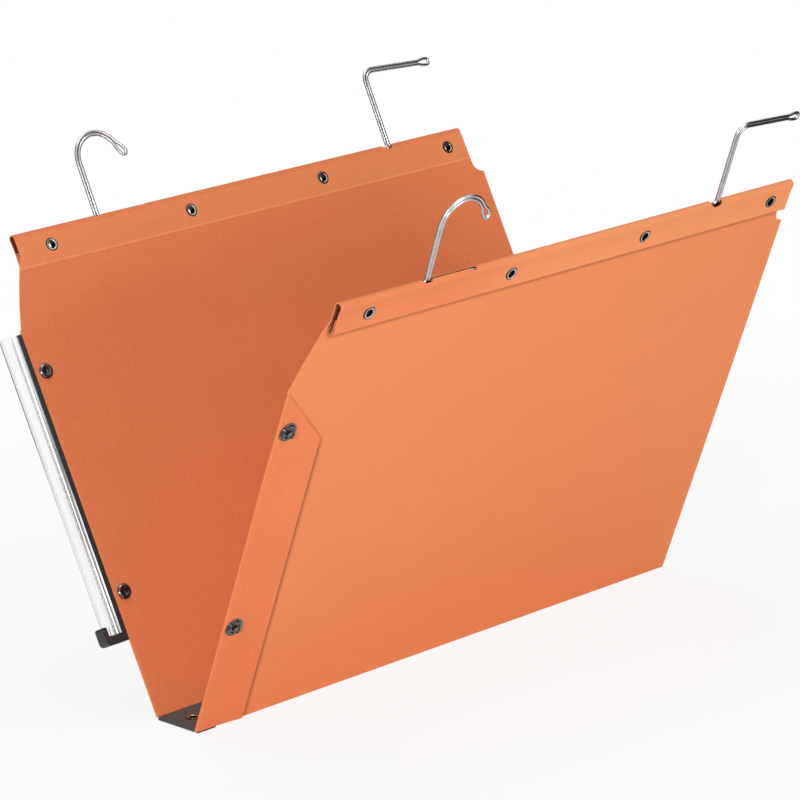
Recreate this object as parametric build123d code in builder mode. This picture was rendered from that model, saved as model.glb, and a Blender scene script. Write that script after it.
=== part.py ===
"""A hanging file folder for cupboard rails, in millimetres.

X runs along the folder with the front edge, which carries the label, at -X. The near panel is at -Y and
the far panel at +Y, both leaning out from a flat base. Z is up, and the origin lies halfway between the
creases and between the front of the label holder and the rear edge, on the plane that the folder stands
on. The far side is the near side mirrored, apart from the press studs' halves and the label holder.
"""

import os
from math import cos, radians, sin, tan

from build123d import *

os.makedirs("parts", exist_ok=True)

# The whole folder
LENGTH = 330.0  # front fold to rear edge
BASE_WIDTH = 30.0  # crease to crease
HEIGHT = 252.5  # crease to top of hem, along a panel
TILT = 25.0  # lean of an open panel from upright, in degrees
CARD = 0.6  # thickness of the kraft card
FIT_GAP = 0.1  # a fastener in its hole
RUN_GAP = 0.3  # between pieces that move on each other
OVERRUN = 2.0  # a cut runs this far past a face

# Base board: pressboard on the bottom card, with its front end turned under the card
BOARD = 0.8
BOARD_MARGIN = 0.7  # crease to the board's side edge
BOARD_REAR_INSET = 2.0
LIP_LENGTH = 16.0
LIP_CHAMFER = 4.0
LIP_PROUD = 0.2  # lip's thinned side edges past the creases
BASE_EYELET_INSET = 10.5  # eyelet's centre from the front fold and from the rear edge

# Panel outline, in distances along the folder (u) and up the panel from its crease (v)
CREASE_RADIUS = 0.4  # rolled edge of the panel at the crease
FOLD_TOP = 204.5  # where the front fold ends and the slanted corner begins
CORNER_TOP = 241.5  # where the slanted corner meets the hem's front end
CORNER_BULGE = 0.8  # rise of the slanted corner's curve over a straight line
REAR_TOP = 225.5  # top of the rear edge
HEM_FRONT = 15.5  # front fold to the hem's front end
HEM_REAR_INSET = 6.0  # rear edge to the hem's rear end, and the radius of the round notch there
FLAP_WIDTH = 28.5  # front flap, folded out and back over the panel
FLAP_TOP = 172.5  # top of the flap's rear edge
FLAP_FOOT = 1.5  # flap's lower edge above the crease

# Hem: the card rolled out over the wire and down the panel, with its edge turned in under the flap
HEM_DEPTH = 17.2  # hem's top to the lower edge of its flap
HEM_FLARE = 2.3  # lower edge of the flap out from where the eyelets hold it
TURN_REACH = 2.5  # top of the turned-in edge above the eyelets' centres
HEM_RADIUS = 1.7  # inside of the roll
HEM_SLANT = 55.0  # slope of the roll's lower side from upright, in degrees
HEM_LAP = 2.0  # length of panel that the rolled section shares with the flat sheet

# Hem wire: one steel wire bent into a rod with a front and a rear hook, each a hairpin with an eye
WIRE = 1.8  # diameter
WIRE_GAP = 0.25  # between the two wires of a hairpin
WIRE_END_INSET = 3.0  # wire's ends from the ends of the hem
BASE_BEND = 2.2  # bends from rod to legs, on the wire's centre line
FRONT_LEG = 70.5  # front fold to the front hook's legs
REAR_LEG_INSET = 59.5  # rear edge to the rear hook's legs
FRONT_RISE = 28.0  # straight part of the front hook's legs above the hem
FRONT_RADIUS = 13.5  # front hook's curve, between its two wires
TIP_FALL = 55.0  # slope of the front hook's tip from level, in degrees
TIP_RUN = 9.5  # straight end of the front hook
REAR_RISE = 41.5  # rear hook's arm above the hem
REAR_BEND = 6.5  # rear hook's bend, between its two wires
ARM_LENGTH = 46.0  # rear hook's legs to the end of its eye
EYE_LENGTH = 8.0
EYE_FLARE = 3.5  # length over which the wires spread to the eye
EYE_RADIUS = 1.75  # half the eye's width, on the wire's centre line
EYE_TURN = 1.6  # bends at the eye's end
EYE_BLEND = 3.0  # bends into the eye
SWIVEL = 15.0  # hooks tilt this far each way before the slot stops them, in degrees
SLOT_LEAD = 3.2  # front slot begins this far ahead of the front hook's legs
SLOT_LENGTH = 34.7
NOTCH_RADIUS = 4.5  # round opening for the rear hook
NOTCH_LEAD = 1.5  # its centre ahead of the rear hook's legs

# Eyelets
EYELET_FIRST = 36.0  # front fold to the first eyelet
EYELET_LAST_INSET = 18.9  # rear edge to the last eyelet
EYELET_COUNT = 4
EYELET_DROP = 9.7  # hem's top to an eyelet's centre
EYELET_BORE = 1.9
EYELET_BARREL = 2.3
EYELET_FLANGE = 3.6
EYELET_RIM = 0.45  # thickness of a flange
EYELET_SINK = 0.4  # rear base eyelet's lower flange pressed into the bottom card
EYELET_BEVEL = 0.25

# Press studs
SNAP_INSET = 6.5  # front fold to a press stud's centre
SNAP_LOW_RISE = 23.5  # label rail's foot to the lower press stud
SNAP_HIGH_DROP = 21.0  # label rail's top to the upper press stud
CAP_RADIUS = 4.0
CAP_RISE = 1.3
CAP_EDGE = 0.4
CAP_RING = 2.7  # radius of the cap's crest, round its dished centre
CAP_DISH = 0.5
POST_RADIUS = 1.2
STUD_FLANGE = 5.0
STUD_PLATE = 0.7
STUD_RING_RADIUS = 3.4  # raised ring round the stud
STUD_RING_RISE = 0.6
STUD_RING_WIDTH = 0.7
STUD_NUB_RADIUS = 2.0
STUD_NUB_NECK = 1.75
STUD_NUB_RISE = 2.8
STUD_NUB_BEVEL = 0.4
SOCKET_FLOOR = 0.7
SOCKET_RISE = 3.4
SOCKET_PLAY = 0.12  # round the stud of the next folder
SOCKET_BEVEL = 0.6

# Label holder: rail riveted to the far panel's front edge, with a foot, a clear window and a paper label
RAIL_FOOT = 41.5  # crease to the foot's underside
RAIL_LENGTH = 161.0
RAIL_PLATE = 1.0
RAIL_GRIP = 12.5  # plate's width on the panel
RAIL_REACH = 3.0  # rail's front face ahead of the front fold
RAIL_INSIDE = 0.5  # rail's inner face inside the panel's middle plane
FOLD_GAP = 0.3  # front fold to the rail's inner bar
NECK_WIDTH = 0.8  # neck that carries the rail's head
NECK_LENGTH = 1.0
HEAD_WIDTH = 2.4
HEAD_DEPTH = 1.0
WINDOW_GAP = 0.15  # window on the rail and on its foot
WINDOW_WIDTH = 7.1
WINDOW_WALL = 0.7
WINDOW_LENS = 2.2  # thickness of the lens at its edges
WINDOW_CROWN = 1.2  # bulge of the lens
LABEL_ROOM = 1.6  # depth of the window's label channel
LABEL_THICKNESS = 0.3
LABEL_SHORT = 3.0  # label's top below the window's top
FOOT_HEIGHT = 4.5
FOOT_LIP = 2.6  # thickness of the foot's upturned front
FOOT_LIP_RISE = 5.0
FOOT_ROUND = 2.4
FOOT_LIP_ROUND = 1.2

# Levels and places that follow from the sizes above
LIP_TOP = BOARD
CARD_TOP = LIP_TOP + CARD
BOARD_TOP = CARD_TOP + BOARD
CREASE_Z = LIP_TOP + CARD / 2
LIP_EDGE = CREASE_Z - CREASE_RADIUS - RUN_GAP  # thickness of the lip under the creases
HEM_REAR = LENGTH - HEM_REAR_INSET
HEM_LENGTH = HEM_REAR - HEM_FRONT
FLAP_TURN = HEIGHT - HEM_DEPTH + CARD  # middle of the fold along the flap's lower edge
ROLL_OUT = CARD / 2 + HEM_RADIUS
ROLL_UP = HEIGHT - CARD - HEM_RADIUS
WIRE_UP = HEIGHT - CARD - RUN_GAP - WIRE / 2
WIRE_SPREAD = (WIRE + WIRE_GAP) / 2
REAR_LEG = LENGTH - REAR_LEG_INSET
EYELET_UP = HEIGHT - EYELET_DROP
TURN_TOP = EYELET_UP + TURN_REACH
EYELET_PITCH = (LENGTH - EYELET_FIRST - EYELET_LAST_INSET) / (EYELET_COUNT - 1)
LAYERS = CARD / 2 + CARD  # outer face of a double layer, from the panel's middle plane
HEM_OUT = LAYERS + CARD  # outer face of the hem, over its turned-in edge
FLARE_OUT = HEM_OUT + HEM_FLARE
FLARE_UP = EYELET_UP - EYELET_FLANGE - FIT_GAP  # where the flap begins to flare, below the eyelets
RAIL_TOP = RAIL_FOOT + RAIL_LENGTH
SNAP_HEIGHTS = (RAIL_FOOT + SNAP_LOW_RISE, RAIL_TOP - SNAP_HIGH_DROP)
SEAT = RAIL_FOOT + FOOT_HEIGHT
PLATE_OUT = LAYERS + RAIL_PLATE
NECK_OUT = LAYERS + RAIL_PLATE / 2
HEAD_BACK = RAIL_REACH + NECK_LENGTH
HEAD_FRONT = HEAD_BACK + HEAD_DEPTH
WINDOW_BACK = RAIL_REACH + WINDOW_GAP
CHANNEL_BACK = HEAD_BACK - WINDOW_GAP
CHANNEL_FRONT = HEAD_FRONT + WINDOW_GAP
LABEL_BACK = CHANNEL_FRONT + WINDOW_WALL
LENS_BACK = LABEL_BACK + LABEL_ROOM
LENS_EDGE = LENS_BACK + WINDOW_LENS
WINDOW_FRONT = LENS_EDGE + WINDOW_CROWN
WINDOW_INNER = -RAIL_INSIDE
WINDOW_OUTER = WINDOW_INNER + WINDOW_WIDTH
WINDOW_MIDDLE = (WINDOW_INNER + WINDOW_OUTER) / 2
FOOT_BACK = WINDOW_FRONT + WINDOW_GAP
FOOT_FRONT = FOOT_BACK + FOOT_LIP
LIP_END = SEAT + FOOT_LIP_RISE
FRONT_X = (FOOT_FRONT - LENGTH) / 2
REAR_X = FRONT_X + LENGTH
BOARD_BEND_X = FRONT_X + BOARD + CARD / 2
LIP_BACK_X = FRONT_X + LIP_LENGTH

# The near panel's directions: along the folder, up the panel, and out of it
OUTWARD = Vector(0, -cos(radians(TILT)), -sin(radians(TILT)))
UPWARD = Vector(0, -sin(radians(TILT)), cos(radians(TILT)))
CREASE = Vector(FRONT_X, -BASE_WIDTH / 2, CREASE_Z)
FACE = Plane(origin=CREASE, x_dir=(1, 0, 0), z_dir=OUTWARD)


def section(u):
    """Plane across the near panel at u: x points out of the panel, y up it, and z to the front."""
    return Plane(origin=CREASE + Vector(u, 0, 0), x_dir=OUTWARD, z_dir=(-1, 0, 0))


def level(v):
    """Plane square to the near panel at height v: x points to the rear, y inwards, and z up the panel."""
    return Plane(origin=CREASE + UPWARD * v, x_dir=(1, 0, 0), z_dir=UPWARD)


def hole_spots(places):
    """Places on the near panel's face from pairs of u and v."""
    return [FACE.location * Location((u, v)) for u, v in places]


HEM_EYELETS = [(EYELET_FIRST + k * EYELET_PITCH, EYELET_UP) for k in range(EYELET_COUNT)]
SNAPS = [(SNAP_INSET, v) for v in SNAP_HEIGHTS]

# Bottom card: the flat strip between the two creases
with BuildPart() as bottom_card:
    with BuildSketch(Plane.XY.offset(LIP_TOP)):
        with Locations(((BOARD_BEND_X + REAR_X) / 2, 0)):
            Rectangle(REAR_X - BOARD_BEND_X, BASE_WIDTH - 2 * (CREASE_RADIUS + RUN_GAP))
        with Locations((FRONT_X + BASE_EYELET_INSET, 0), (REAR_X - BASE_EYELET_INSET, 0)):
            Circle(EYELET_BARREL + FIT_GAP, mode=Mode.SUBTRACT)
    extrude(amount=CARD)
    with BuildSketch(Plane.XY.offset(LIP_TOP)):
        with Locations((REAR_X - BASE_EYELET_INSET, 0)):
            Circle(EYELET_FLANGE + FIT_GAP)
    extrude(amount=EYELET_SINK, mode=Mode.SUBTRACT)
bottom_card.part.label = "bottom_card"
export_step(bottom_card.part, "parts/bottom_card.step")

# Base board: lies on the bottom card and turns under its front end, as a lip thinned under the creases
with BuildPart() as base_board:
    with BuildSketch(Plane.XZ):
        with BuildLine():
            Line((REAR_X - BOARD_REAR_INSET, CARD_TOP), (BOARD_BEND_X, CARD_TOP))
            CenterArc((BOARD_BEND_X, CREASE_Z), CARD / 2, 90, 180)
            Line((BOARD_BEND_X, LIP_TOP), (LIP_BACK_X, LIP_TOP))
            offset(amount=BOARD, side=Side.RIGHT)
        make_face()
    extrude(amount=BASE_WIDTH / 2 - BOARD_MARGIN, both=True)
    chamfer(base_board.edges().filter_by(Axis.Z).group_by(Axis.X)[0], LIP_CHAMFER)
    with BuildSketch(Plane.XY) as lip_edges:
        with Locations(((BOARD_BEND_X + LIP_BACK_X) / 2, 0)):
            Rectangle(LIP_BACK_X - BOARD_BEND_X, BASE_WIDTH + 2 * LIP_PROUD)
        chamfer(lip_edges.vertices().group_by(Axis.X)[-1], LIP_CHAMFER)
    extrude(amount=LIP_EDGE)
    with BuildSketch(Plane.XY):
        with Locations((FRONT_X + BASE_EYELET_INSET, 0), (REAR_X - BASE_EYELET_INSET, 0)):
            Circle(EYELET_BARREL + FIT_GAP)
    extrude(amount=BOARD_TOP, mode=Mode.SUBTRACT)
    with BuildSketch(Plane.XY):
        with Locations((FRONT_X + BASE_EYELET_INSET, 0)):
            Circle(EYELET_FLANGE + FIT_GAP)
    extrude(amount=EYELET_RIM, mode=Mode.SUBTRACT)
base_board.part.label = "base_board"
export_step(base_board.part, "parts/base_board.step")


def roll_end(radius, reach):
    """Height at which the slanted side of a hem roll of this radius comes in to reach from the panel."""
    slant = radians(HEM_SLANT)
    return ROLL_UP - radius * sin(slant) - (ROLL_OUT + radius * cos(slant) - reach) / tan(slant)


# Near panel: flat sheet, rolled hem at the top with its flared edge turned in, flap folded over at the front,
# and rolled edge at the crease
roll_crease = roll_end(HEM_RADIUS + CARD, HEM_OUT)
roll_foot = roll_end(HEM_RADIUS, LAYERS)
slot_half = (WIRE / 2 + RUN_GAP) / cos(radians(SWIVEL)) + (HEIGHT - WIRE_UP) * tan(radians(SWIVEL))
with BuildPart() as near_panel:
    with BuildSketch(FACE.offset(-CARD / 2)):
        with BuildLine():
            Polyline((CARD, 0), (LENGTH, 0), (LENGTH, REAR_TOP))
            CenterArc((LENGTH, REAR_TOP + HEM_REAR_INSET), HEM_REAR_INSET, 270, -90)
            Polyline(
                (HEM_REAR, REAR_TOP + HEM_REAR_INSET),
                (HEM_REAR, ROLL_UP),
                (HEM_FRONT, ROLL_UP),
                (HEM_FRONT, CORNER_TOP),
            )
            SagittaArc((HEM_FRONT, CORNER_TOP), (CARD, FOLD_TOP), -CORNER_BULGE)
            Line((CARD, FOLD_TOP), (CARD, 0))
        make_face()
    extrude(amount=CARD)
    with BuildSketch(section(HEM_REAR)):
        with BuildLine():
            Line((-CARD / 2, ROLL_UP - HEM_LAP), (-CARD / 2, ROLL_UP))
            outer_roll = CenterArc((ROLL_OUT, ROLL_UP), HEM_RADIUS + CARD, 180, -180 - HEM_SLANT)
            inner_roll = CenterArc((ROLL_OUT, ROLL_UP), HEM_RADIUS, 180, -180 - HEM_SLANT)
            Polyline(outer_roll @ 1, (HEM_OUT, roll_crease), (HEM_OUT, FLARE_UP), (FLARE_OUT, FLAP_TURN))
            lower_edge = CenterArc((FLARE_OUT - CARD, FLAP_TURN), CARD, 0, -180)
            Polyline(lower_edge @ 1, (CARD / 2, FLARE_UP), (CARD / 2, TURN_TOP), (LAYERS, TURN_TOP))
            Polyline((LAYERS, TURN_TOP), (LAYERS, roll_foot), inner_roll @ 1)
            Polyline(inner_roll @ 0, (CARD / 2, ROLL_UP - HEM_LAP), (-CARD / 2, ROLL_UP - HEM_LAP))
        make_face()
    extrude(amount=HEM_LENGTH)
    with BuildSketch(FACE.offset(CARD / 2)):
        with BuildLine():
            Polyline(
                (CARD, FLAP_FOOT),
                (FLAP_WIDTH, FLAP_FOOT),
                (FLAP_WIDTH, FLAP_TOP),
                (CARD, FOLD_TOP),
                close=True,
            )
        make_face()
    extrude(amount=CARD)
    with BuildSketch(level(FLAP_FOOT)):
        with Locations((CARD, -CARD / 2)):
            Circle(CARD)
        with Locations((2 * CARD, -CARD / 2)):
            Rectangle(2 * CARD, 2 * CARD, mode=Mode.SUBTRACT)
    extrude(amount=FOLD_TOP - FLAP_FOOT)
    with BuildSketch(section(LENGTH)):
        Circle(CREASE_RADIUS)
    extrude(amount=LENGTH)
    with BuildSketch(*[Plane(spot).offset(-OVERRUN) for spot in hole_spots(HEM_EYELETS)]):
        Circle(EYELET_BARREL + FIT_GAP)
    extrude(amount=2 * OVERRUN, mode=Mode.SUBTRACT)
    with BuildSketch(*[Plane(spot).offset(-OVERRUN) for spot in hole_spots(SNAPS)]):
        Circle(POST_RADIUS + FIT_GAP)
    extrude(amount=2 * OVERRUN, mode=Mode.SUBTRACT)
    with BuildSketch(level(WIRE_UP)):
        with Locations((FRONT_LEG - SLOT_LEAD + SLOT_LENGTH / 2, -ROLL_OUT)):
            SlotOverall(SLOT_LENGTH, 2 * slot_half)
    extrude(amount=HEIGHT - WIRE_UP + OVERRUN, mode=Mode.SUBTRACT)
    with BuildSketch(FACE.offset(-OVERRUN)):
        with Locations((REAR_LEG - NOTCH_LEAD, HEIGHT)):
            Circle(NOTCH_RADIUS)
    extrude(amount=2 * (OVERRUN + ROLL_OUT), mode=Mode.SUBTRACT)
near_panel.part.label = "near_panel"
export_step(near_panel.part, "parts/near_panel.step")

with BuildPart() as far_panel:
    mirror(near_panel.part, about=Plane.XZ)
far_panel.part.label = "far_panel"
export_step(far_panel.part, "parts/far_panel.step")


def hairpin(leg, bend_centre, bend_radius, fall, run):
    """Points and bends of one hook, from the rod up its outer wire, round the eye and down its inner wire.

    The legs stand at u = leg and bend about bend_centre until they slope down by fall, then run straight to
    the eye's end. A corner of the outer or inner wire is where its leg and its straight end would cross.
    """
    slope = radians(fall)
    reach = (1 + sin(slope)) / cos(slope)
    along = Vector(cos(slope), -sin(slope))
    across = Vector(sin(slope), cos(slope))
    start = bend_centre + across * bend_radius
    outer = bend_radius + WIRE_SPREAD
    inner = bend_radius - WIRE_SPREAD
    eye = [
        (run - EYE_LENGTH, WIRE_SPREAD),
        (run - EYE_LENGTH + EYE_FLARE, EYE_RADIUS),
        (run, EYE_RADIUS),
        (run, -EYE_RADIUS),
        (run - EYE_LENGTH + EYE_FLARE, -EYE_RADIUS),
        (run - EYE_LENGTH, -WIRE_SPREAD),
    ]
    corners = [
        Vector(leg - WIRE_SPREAD, WIRE_UP),
        bend_centre + Vector(-outer, outer * reach),
        *[start + along * a + across * b for a, b in eye],
        bend_centre + Vector(-inner, inner * reach),
        Vector(leg + WIRE_SPREAD, WIRE_UP),
    ]
    points = [(corner.X, corner.Y) for corner in corners]
    eye_bends = [EYE_BLEND, EYE_BLEND, EYE_TURN, EYE_TURN, EYE_BLEND, EYE_BLEND]
    return points, [BASE_BEND, outer, *eye_bends, inner, BASE_BEND]


# Near hem wire: rod in the hem, front hook curled like a question mark, rear hook with a level arm
front_points, front_bends = hairpin(
    FRONT_LEG, Vector(FRONT_LEG + FRONT_RADIUS, HEIGHT + FRONT_RISE), FRONT_RADIUS, TIP_FALL, TIP_RUN
)
rear_points, rear_bends = hairpin(
    REAR_LEG,
    Vector(REAR_LEG + REAR_BEND, HEIGHT + REAR_RISE - REAR_BEND),
    REAR_BEND,
    0,
    ARM_LENGTH - REAR_BEND,
)
with BuildPart() as near_hem_wire:
    with BuildLine(FACE.offset(ROLL_OUT)) as wire_line:
        FilletPolyline(
            (HEM_FRONT + WIRE_END_INSET, WIRE_UP),
            *front_points,
            *rear_points,
            (HEM_REAR - WIRE_END_INSET, WIRE_UP),
            radius=[*front_bends, *rear_bends],
        )
    with BuildSketch(Plane(origin=wire_line.line @ 0, z_dir=wire_line.line % 0)):
        Circle(WIRE / 2)
    sweep()
near_hem_wire.part.label = "near_hem_wire"
export_step(near_hem_wire.part, "parts/near_hem_wire.step")

with BuildPart() as far_hem_wire:
    mirror(near_hem_wire.part, about=Plane.XZ)
far_hem_wire.part.label = "far_hem_wire"
export_step(far_hem_wire.part, "parts/far_hem_wire.step")


def eyelet(grip):
    """An eyelet with a flange each side of a stack that is grip thick, standing on the XY plane."""
    with BuildPart() as rivet:
        with BuildSketch(Plane.XZ):
            with BuildLine():
                Polyline(
                    (EYELET_BORE, -EYELET_RIM),
                    (EYELET_FLANGE - EYELET_BEVEL, -EYELET_RIM),
                    (EYELET_FLANGE, -EYELET_RIM + EYELET_BEVEL),
                    (EYELET_FLANGE, 0),
                    (EYELET_BARREL, 0),
                    (EYELET_BARREL, grip),
                    (EYELET_FLANGE, grip),
                    (EYELET_FLANGE, grip + EYELET_RIM - EYELET_BEVEL),
                    (EYELET_FLANGE - EYELET_BEVEL, grip + EYELET_RIM),
                    (EYELET_BORE, grip + EYELET_RIM),
                    close=True,
                )
            make_face()
        revolve(axis=Axis.Z)
    return rivet.part


# Base eyelets: through the board and the card. The front one also holds the turned lip, sunk flush in it
front_eyelet = eyelet(BOARD_TOP - EYELET_RIM)
rear_eyelet = eyelet(BOARD_TOP - LIP_TOP - EYELET_SINK)
with BuildPart() as base_eyelets:
    with Locations((FRONT_X + BASE_EYELET_INSET, 0, EYELET_RIM)):
        add(front_eyelet)
    with Locations((REAR_X - BASE_EYELET_INSET, 0, LIP_TOP + EYELET_SINK)):
        add(rear_eyelet)
base_eyelets.part.label = "base_eyelets"
export_step(base_eyelets.part, "parts/base_eyelets.step")

# Hem eyelets: four in each hem, through the panel, the turned-in edge and the hem's flap below the wire
hem_eyelet = eyelet(3 * CARD)
with BuildPart() as near_hem_eyelets:
    with Locations(*[spot * Location((0, 0, -CARD / 2)) for spot in hole_spots(HEM_EYELETS)]):
        add(hem_eyelet)
near_hem_eyelets.part.label = "near_hem_eyelets"
export_step(near_hem_eyelets.part, "parts/near_hem_eyelets.step")

with BuildPart() as far_hem_eyelets:
    mirror(near_hem_eyelets.part, about=Plane.XZ)
far_hem_eyelets.part.label = "far_hem_eyelets"
export_step(far_hem_eyelets.part, "parts/far_hem_eyelets.step")


def snap_post(grip):
    """A press stud's dished cap below the XY plane, with its post through a stack that is grip thick."""
    dish_radius = (CAP_RING**2 + CAP_DISH**2) / (2 * CAP_DISH)
    with BuildPart() as post:
        with BuildSketch(Plane.XZ):
            with BuildLine():
                Line((0, grip), (POST_RADIUS, grip))
                Polyline((POST_RADIUS, grip), (POST_RADIUS, 0), (CAP_RADIUS, 0), (CAP_RADIUS, -CAP_EDGE))
                EllipticalCenterArc(
                    (CAP_RING, -CAP_EDGE), CAP_RADIUS - CAP_RING, CAP_RISE - CAP_EDGE, 270, arc_size=90
                )
                RadiusArc((CAP_RING, -CAP_RISE), (0, CAP_DISH - CAP_RISE), -dish_radius)
                Line((0, CAP_DISH - CAP_RISE), (0, grip))
            make_face()
        revolve(axis=Axis.Z)
    return post.part


# Near press studs: stud halves on the front flap, riveted to caps on the panel's inner face
with BuildPart() as stud:
    with BuildSketch(Plane.XZ):
        with BuildLine():
            Polyline(
                (POST_RADIUS + FIT_GAP, 0),
                (STUD_FLANGE, 0),
                (STUD_FLANGE, STUD_PLATE),
                (STUD_RING_RADIUS + STUD_RING_WIDTH, STUD_PLATE),
                (STUD_RING_RADIUS + STUD_RING_WIDTH / 2, STUD_PLATE + STUD_RING_RISE),
                (STUD_RING_RADIUS - STUD_RING_WIDTH / 2, STUD_PLATE + STUD_RING_RISE),
                (STUD_RING_RADIUS - STUD_RING_WIDTH, STUD_PLATE),
                (STUD_NUB_NECK, STUD_PLATE),
                (STUD_NUB_RADIUS, STUD_PLATE + STUD_NUB_RISE / 2),
                (STUD_NUB_RADIUS, STUD_PLATE + STUD_NUB_RISE - STUD_NUB_BEVEL),
                (STUD_NUB_RADIUS - STUD_NUB_BEVEL, STUD_PLATE + STUD_NUB_RISE),
                (POST_RADIUS + FIT_GAP, STUD_PLATE + STUD_NUB_RISE),
                close=True,
            )
        make_face()
    revolve(axis=Axis.Z)
with BuildPart() as near_snap_studs:
    with Locations(*[spot * Location((0, 0, LAYERS)) for spot in hole_spots(SNAPS)]):
        add(stud.part)
near_snap_studs.part.label = "near_snap_studs"
export_step(near_snap_studs.part, "parts/near_snap_studs.step")

near_post = snap_post(2 * CARD + STUD_PLATE + STUD_NUB_RISE)
with BuildPart() as near_snap_posts:
    with Locations(*[spot * Location((0, 0, -CARD / 2)) for spot in hole_spots(SNAPS)]):
        add(near_post)
near_snap_posts.part.label = "near_snap_posts"
export_step(near_snap_posts.part, "parts/near_snap_posts.step")

# Far press studs: socket halves that hold the label rail's plate on the panel, riveted to like caps
with BuildPart() as socket:
    with BuildSketch(Plane.XZ):
        with BuildLine():
            Polyline(
                (POST_RADIUS + FIT_GAP, 0),
                (STUD_FLANGE, 0),
                (STUD_FLANGE, SOCKET_RISE - SOCKET_BEVEL),
                (STUD_FLANGE - SOCKET_BEVEL, SOCKET_RISE),
                (STUD_NUB_RADIUS + SOCKET_PLAY, SOCKET_RISE),
                (STUD_NUB_RADIUS + SOCKET_PLAY, SOCKET_FLOOR),
                (POST_RADIUS + FIT_GAP, SOCKET_FLOOR),
                close=True,
            )
        make_face()
    revolve(axis=Axis.Z)
with BuildPart() as far_snap_sockets:
    with Locations(*[spot * Location((0, 0, LAYERS + RAIL_PLATE)) for spot in hole_spots(SNAPS)]):
        add(socket.part)
    mirror(about=Plane.XZ, mode=Mode.REPLACE)
far_snap_sockets.part.label = "far_snap_sockets"
export_step(far_snap_sockets.part, "parts/far_snap_sockets.step")

far_post = snap_post(2 * CARD + RAIL_PLATE + SOCKET_FLOOR)
with BuildPart() as far_snap_posts:
    with Locations(*[spot * Location((0, 0, -CARD / 2)) for spot in hole_spots(SNAPS)]):
        add(far_post)
    mirror(about=Plane.XZ, mode=Mode.REPLACE)
far_snap_posts.part.label = "far_snap_posts"
export_step(far_snap_posts.part, "parts/far_snap_posts.step")

# The far panel's directions, and its front edge: x points forward of the fold, y up, and z out of the panel
FAR_OUTWARD = Vector(0, -OUTWARD.Y, OUTWARD.Z)
FAR_UPWARD = Vector(0, -UPWARD.Y, UPWARD.Z)
FAR_CREASE = Vector(FRONT_X, BASE_WIDTH / 2, CREASE_Z)
FAR_FRONT = Plane(origin=FAR_CREASE, x_dir=(-1, 0, 0), z_dir=FAR_OUTWARD)


def front_level(v):
    """Plane square to the far panel at height v: x points forward of the fold, y outwards, z down."""
    return Plane(origin=FAR_CREASE + FAR_UPWARD * v, x_dir=(-1, 0, 0), z_dir=-FAR_UPWARD)


# Label rail: plate under the sockets, bar before the card's fold, head for the window, foot below it
with BuildPart() as label_rail:
    with BuildSketch(front_level(RAIL_TOP)):
        with Locations((-RAIL_GRIP, LAYERS)):
            Rectangle(RAIL_GRIP + RAIL_REACH, RAIL_PLATE, align=(Align.MIN, Align.MIN))
        with Locations((FOLD_GAP, -RAIL_INSIDE)):
            Rectangle(RAIL_REACH - FOLD_GAP, RAIL_INSIDE + PLATE_OUT, align=(Align.MIN, Align.MIN))
        with Locations((RAIL_REACH, NECK_OUT)):
            Rectangle(NECK_LENGTH + HEAD_DEPTH, NECK_WIDTH, align=(Align.MIN, Align.CENTER))
        with Locations((HEAD_BACK, NECK_OUT)):
            Rectangle(HEAD_DEPTH, HEAD_WIDTH, align=(Align.MIN, Align.CENTER))
    extrude(amount=RAIL_LENGTH)
    with BuildSketch(FAR_FRONT.offset(WINDOW_INNER)):
        with BuildLine():
            FilletPolyline(
                (FOLD_GAP, RAIL_FOOT),
                (FOOT_FRONT, RAIL_FOOT),
                (FOOT_FRONT, LIP_END),
                (FOOT_BACK, LIP_END),
                (FOOT_BACK, SEAT),
                (FOLD_GAP, SEAT),
                radius=[0, FOOT_ROUND, FOOT_LIP_ROUND, FOOT_LIP_ROUND, 0, 0],
                close=True,
            )
        make_face()
    extrude(amount=WINDOW_WIDTH)
    with BuildSketch(FAR_FRONT.offset(LAYERS)):
        with Locations(*[(-u, v) for u, v in SNAPS]):
            Circle(POST_RADIUS + FIT_GAP)
    extrude(amount=RAIL_PLATE, mode=Mode.SUBTRACT)
label_rail.part.label = "label_rail"
export_step(label_rail.part, "parts/label_rail.step")

# Label window: clear extruded profile with a slot for the rail's head, a label channel and a bulged lens
with BuildPart() as label_window:
    with BuildSketch(front_level(RAIL_TOP)):
        with BuildLine():
            Polyline(
                (LENS_EDGE, WINDOW_INNER),
                (WINDOW_BACK, WINDOW_INNER),
                (WINDOW_BACK, WINDOW_OUTER),
                (LENS_EDGE, WINDOW_OUTER),
            )
            ThreePointArc(
                (LENS_EDGE, WINDOW_OUTER), (WINDOW_FRONT, WINDOW_MIDDLE), (LENS_EDGE, WINDOW_INNER)
            )
        make_face()
        with Locations(((WINDOW_BACK + CHANNEL_BACK) / 2, NECK_OUT)):
            Rectangle(CHANNEL_BACK - WINDOW_BACK, NECK_WIDTH + 2 * WINDOW_GAP, mode=Mode.SUBTRACT)
        with Locations(((CHANNEL_BACK + CHANNEL_FRONT) / 2, NECK_OUT)):
            Rectangle(CHANNEL_FRONT - CHANNEL_BACK, HEAD_WIDTH + 2 * WINDOW_GAP, mode=Mode.SUBTRACT)
        with Locations(((LABEL_BACK + LENS_BACK) / 2, WINDOW_MIDDLE)):
            Rectangle(LABEL_ROOM, WINDOW_WIDTH - 2 * WINDOW_WALL, mode=Mode.SUBTRACT)
    extrude(amount=RAIL_TOP - SEAT - WINDOW_GAP)
label_window.part.label = "label_window"
export_step(label_window.part, "parts/label_window.step")

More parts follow.
